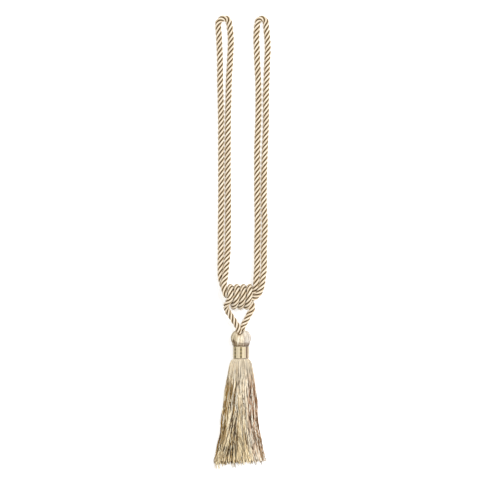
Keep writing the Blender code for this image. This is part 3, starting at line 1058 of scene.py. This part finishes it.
def head_tree():
    """Threads over a closed skin, from the band over the rim and down into the pit."""
    tree, given = new_tree(
        "thread head", Threads=170, Steps=44, Thread_Radius=0.3, Swirl=0.12, Sway=0.03, Seed=5
    )
    lines = lines_on(tree, head_points(tree, given), given["Steps"])
    factor = add(tree, "GeometryNodeSplineParameter", output="Factor")
    lines = store(tree, lines, {"share": factor})
    share, phase = named(tree, "share"), named(tree, "phase")
    sway = ((share * 2.0 + phase) * math.tau).sin() * given["Sway"]
    angle = named(tree, "around") * math.tau + share * given["Swirl"] + sway
    lift = given["Thread_Radius"] * (named(tree, "shade") * 0.7 - 1.2)
    threads = move(tree, lines, head_place(tree, angle, share, lift))

    # Painted light and shade on each thread: less light at the foot, in the fold, round the pit and
    # on the left side, and a painted highlight beside the crease.
    def spot(angle_at, angle_width, share_at, share_width):
        """A soft spot on the head, round an angle and a share."""
        return bell(angle, angle_at, angle_width) * bell(share, share_at, share_width)

    shaded_side = angle.cos().math("MINIMUM", 0.0) * 0.12
    lit = spread(tree, share + shaded_side, 0.27, 0.4, 0.8, 1.0)
    lit = lit - bell(share, 0.18, 0.035) * spread(tree, phase, 0.2, 0.8, 0.0, 0.12)
    fold = spot(math.radians(138.0), math.radians(4.5), 0.41, 0.11)
    rim = spot(NOTCH_AT, math.radians(22.0), 0.8, 0.1) * 0.22
    rim = rim + spread(tree, share, 0.64, 0.8, 0.0, 0.12)
    gleam = spot(crease_place(share) + math.radians(2.0), math.radians(5.0), 0.42, 0.2)
    # The painted light is stored as "reach" and the painted highlight as "gleam", for the material
    # to read.
    kept = {"reach": lit - fold * 0.32 - rim, "gleam": gleam * 0.9, "along": share * 0.5 + 0.35}
    threads = store(tree, threads, kept)
    threads = loft(tree, threads, 4, given["Thread_Radius"] * MM)
    whole = tree.nodes.new("GeometryNodeJoinGeometry")
    for part in (head_skin(tree, given["Thread_Radius"]), threads):
        tree.links.new(part.socket, whole.inputs[0])
    finish_tree(tree, whole.outputs[0], head_thread)
    return tree


head = grow("head_threads", head_tree())
for piece in (*skirt, head):
    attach(piece, "root")
    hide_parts("tassel")

# %% [markdown]
# ## The neck band
# The neck is bound with pale gold thread, wound turn beside turn over a ribbed core, so eight soft
# ribs show under the winding. It is one long spiral. The radius follows the ribs, and the metal
# wrap shines more than the rayon does. A noise along the thread paints its sheen, and the grooves
# between the ribs, with darker dots along them, and the band's two sides are painted in shade.

# %% Wind the band
BAND_FROM_Y = -19.7
BAND_TO_Y = -7.9
BAND_RADIUS = 8.15
BAND_Z = float(HEAD["z"][0])
BAND_MARGIN = 0.25  # half a thread at each end
DOT_PITCH = 3.6  # from one dark dot to the next, in the grooves between the ribs
BAND_GOLD = screen(200, 184, 146)
BAND_SHEEN = screen(236, 224, 198)
BAND_SIDE_SHADE = screen(194, 178, 152)
BAND_GROOVE_SHADE = screen(160, 142, 92)
BAND_GROOVE_SHADE_RIGHT = screen(122, 94, 72)
BAND_DOT = screen(88, 72, 30)

band_gold, tree, shader = new_material("band_gold", 0.34, Metallic=0.15, Specular_IOR_Level=0.6)
rib, side, climb, along = (attribute(tree, key) for key in ("rib", "side", "climb", "along"))
# Painted sheen along the thread; painted shade in the grooves between the ribs, browner on the
# right and wider towards the band's two sides.
sheen = noise(tree, vector(tree, along / MM * 0.8, 0.0, 0.0), detail=2.0, scale=5.0)
dots = (climb * (math.tau / DOT_PITCH)).cos() * 0.5 + 0.5
groove = blend(tree, dots, BAND_GROOVE_SHADE, BAND_DOT)
groove = blend(tree, spread(tree, side, 0.3, 0.6), groove, BAND_GROOVE_SHADE_RIGHT)
gold = blend(tree, spread(tree, sheen, 0.35, 0.65), BAND_GOLD, BAND_SHEEN)
side_shade = side * side * 0.3
gold = blend(tree, spread(tree, rib - side_shade, 0.1, 0.6), groove, gold)
gold = blend(tree, spread(tree, side * side, 0.6, 0.8, 0.0, 0.6), gold, BAND_SIDE_SHADE)
feed(tree, shader.inputs["Base Color"], gold)


def band_tree():
    """A spiral of thread over a ribbed core."""
    tree, given = new_tree(
        "wound band",
        Turns=26.0,
        Steps=72,
        Radius=BAND_RADIUS,
        Ribs=8.0,
        Rib=0.42,
        Thread_Radius=0.25,
    )
    spiral = add(
        tree,
        "GeometryNodeCurveSpiral",
        {
            "Resolution": given["Steps"],
            "Rotations": given["Turns"],
            "Start Radius": 1.0,
            "End Radius": 1.0,
            "Height": 1.0,
        },
    )
    x, z, climb = split(tree, add(tree, "GeometryNodeInputPosition"))
    angle = z.math("ARCTAN2", x)
    crest = (angle * given["Ribs"]).cos() * -0.5 + 0.5
    shape = 1.0 - (1.0 - crest).math("POWER", 2.0)
    reach = given["Radius"] - given["Rib"] * (1.0 - shape)
    y = BAND_FROM_Y + BAND_MARGIN + climb * (BAND_TO_Y - BAND_FROM_Y - 2 * BAND_MARGIN)
    place = vector(tree, x * reach * MM, y * MM, (z * reach + BAND_Z) * MM)
    length = add(tree, "GeometryNodeSplineParameter", output="Length")
    kept = {"rib": shape, "side": x, "climb": y, "along": length * given["Radius"] * MM}
    wound = move(tree, store(tree, spiral, kept), place)
    finish_tree(tree, loft(tree, wound, 5, given["Thread_Radius"] * MM), band_gold)
    return tree


band = grow("neck_band_wound", band_tree())
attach(band, "root")
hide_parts("neck_band")

# %% [markdown]
# ## The table
# The table is plain and nearly white, and glows a little, so that it stays white in the shade. A
# soft light hangs above, to the right of the camera, a weaker and bigger one to its left, and a
# weak white sky fills the rest. Lights near the camera brighten the crests and leave the grooves
# dark, which is what makes the twist and the threads stand out.

# %% Table and lights
TABLE_SIZE = 6.0
TABLE_GLOW = 0.5
SKY_STRENGTH = 0.45
LIGHTS_AIM = (0.0, 0.09, 0.0)
WHITE = (1.0, 1.0, 1.0, 1.0)


def soft_light(name, place, size, power):
    """A round lamp that shines at the middle of the tieback."""
    data = bpy.data.lights.new(name, "AREA")
    data.shape = "DISK"
    data.size = size
    data.energy = power
    light = bpy.data.objects.new(name, data)
    light.location = place
    away = light.location - type(light.location)(LIGHTS_AIM)
    light.rotation_euler = away.to_track_quat("Z", "Y").to_euler()
    bpy.context.scene.collection.objects.link(light)


bpy.ops.mesh.primitive_plane_add(size=TABLE_SIZE, location=(0, 0, 0))
floor = bpy.context.object
floor.name = "table"
table_white, _, _ = new_material(
    "table_white",
    0.9,
    Base_Color=(0.8, 0.8, 0.8, 1.0),
    Emission_Color=WHITE,
    Emission_Strength=TABLE_GLOW,
)
floor.data.materials.append(table_white)
soft_light("key", place=(0.6, 0.45, 1.6), size=0.5, power=26.0)
soft_light("fill", place=(-0.5, -0.3, 1.7), size=1.2, power=7.0)
world = bpy.data.worlds.new("sky")
world.use_nodes = True
sky = world.node_tree.nodes["Background"]
sky.inputs["Color"].default_value = WHITE
sky.inputs["Strength"].default_value = SKY_STRENGTH
bpy.context.scene.world = world
